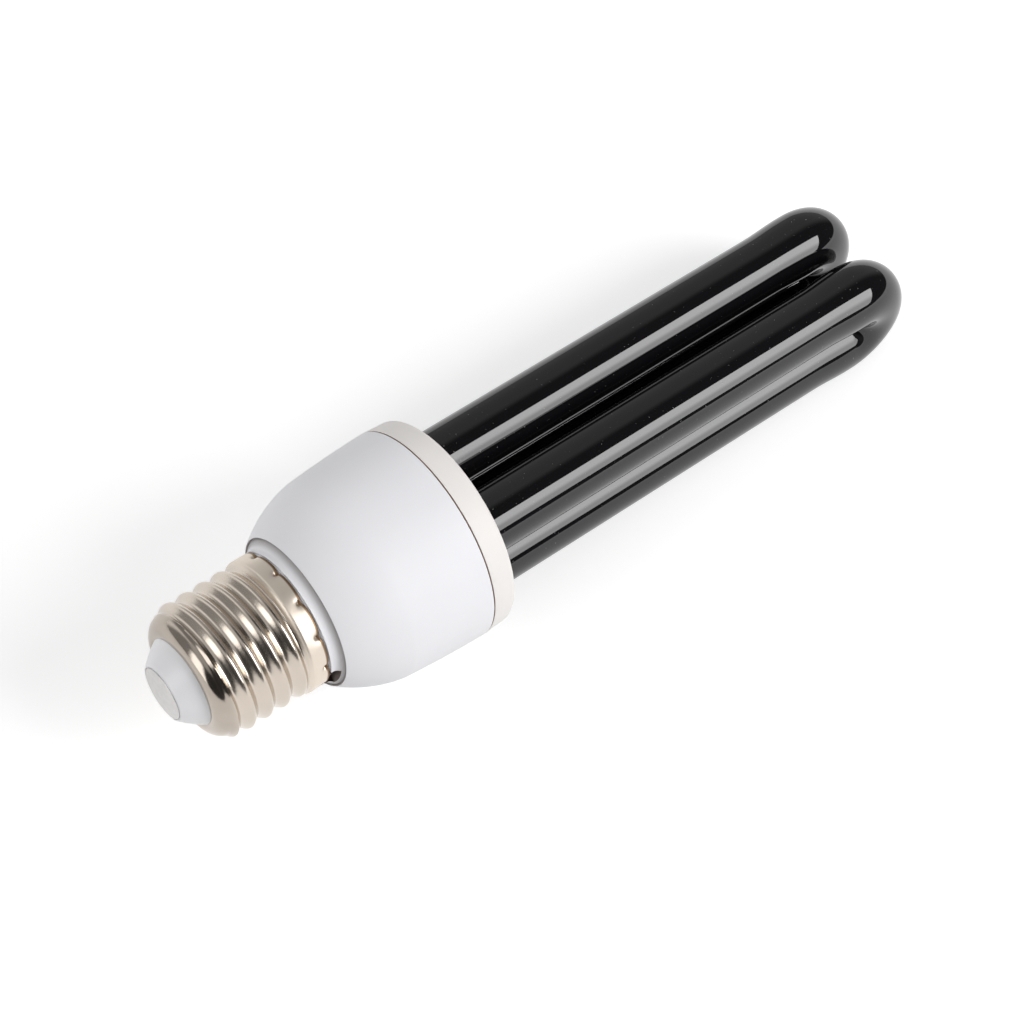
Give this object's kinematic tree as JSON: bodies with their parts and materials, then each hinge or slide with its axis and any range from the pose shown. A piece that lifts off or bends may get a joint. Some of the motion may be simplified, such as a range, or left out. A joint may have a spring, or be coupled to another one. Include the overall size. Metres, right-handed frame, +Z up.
{
  "type": "uv black light bulb",
  "caption": "Compact fluorescent black light bulb: black glass U tubes in a white ballast housing with an E27 screw cap; gives long-wave ultraviolet light.",
  "frame": {"origin": "centre of the underside of the box round the lamp, on the surface that it lies on", "axes": "+X along the lamp from the cap to the tube ends, +Y across the two U tubes, +Z up"},
  "size_m": [0.1659, 0.0422, 0.0425],
  "materials": {
    "nickel_shell": "nickel plate, bright, slightly warm",
    "tinned_contact": "tin plate, fine turning marks",
    "white_insulator": "moulded, satin",
    "white_housing": "moulded, smooth satin gloss",
    "ivory_cover": "moulded, smooth satin gloss, slightly warm",
    "black_glass": "near-black filter glass, polished, opaque",
    "cement": "matt",
    "board": "paper laminate",
    "can_sleeve": "shrink sleeve",
    "ferrite": "matt",
    "bobbin_nylon": "moulded",
    "enamelled_copper": "enamelled wire",
    "dipped_film": "dipped",
    "black_case": "moulded",
    "resistor_coating": "lacquered",
    "diac_glass": "small glass body",
    "fuse_coating": "flame-proof coating",
    "wire_sleeve": "insulated wire",
    "brown_sleeve": "insulated wire, dark brown",
    "tinned_wire": "tinned"
  },
  "bodies": {
    "root": {"screw_shell": "nickel_shell", "centre_contact": "tinned_contact", "cap_insulator": "white_insulator", "base_housing": "white_housing", "tube_cover": "ivory_cover", "discharge_tube": "black_glass", "tube_cement": "cement", "ballast_board": "board", "electrolytic_capacitor": "can_sleeve", "choke_core": "ferrite", "choke_bobbin": "bobbin_nylon", "choke_winding": "enamelled_copper", "drive_core": "ferrite", "drive_winding": "enamelled_copper", "resonant_capacitor": "dipped_film", "coupling_capacitor": "dipped_film", "diac": "diac_glass", "fuse_resistor": "fuse_coating", "contact_lead": "wire_sleeve", "live_lead": "wire_sleeve", "shell_lead": "brown_sleeve", "transistor_1": "black_case", "transistor_2": "black_case", "rectifier_diode_1": "black_case", "rectifier_diode_2": "black_case", "rectifier_diode_3": "black_case", "rectifier_diode_4": "black_case", "resistor_1": "resistor_coating", "resistor_2": "resistor_coating", "resistor_3": "resistor_coating", "wrap_pin_1": "tinned_wire", "wrap_pin_2": "tinned_wire", "wrap_pin_3": "tinned_wire", "wrap_pin_4": "tinned_wire", "electrode_lead_1": "tinned_wire", "electrode_lead_2": "tinned_wire", "electrode_lead_3": "tinned_wire", "electrode_lead_4": "tinned_wire"}
  },
  "joints": []
}
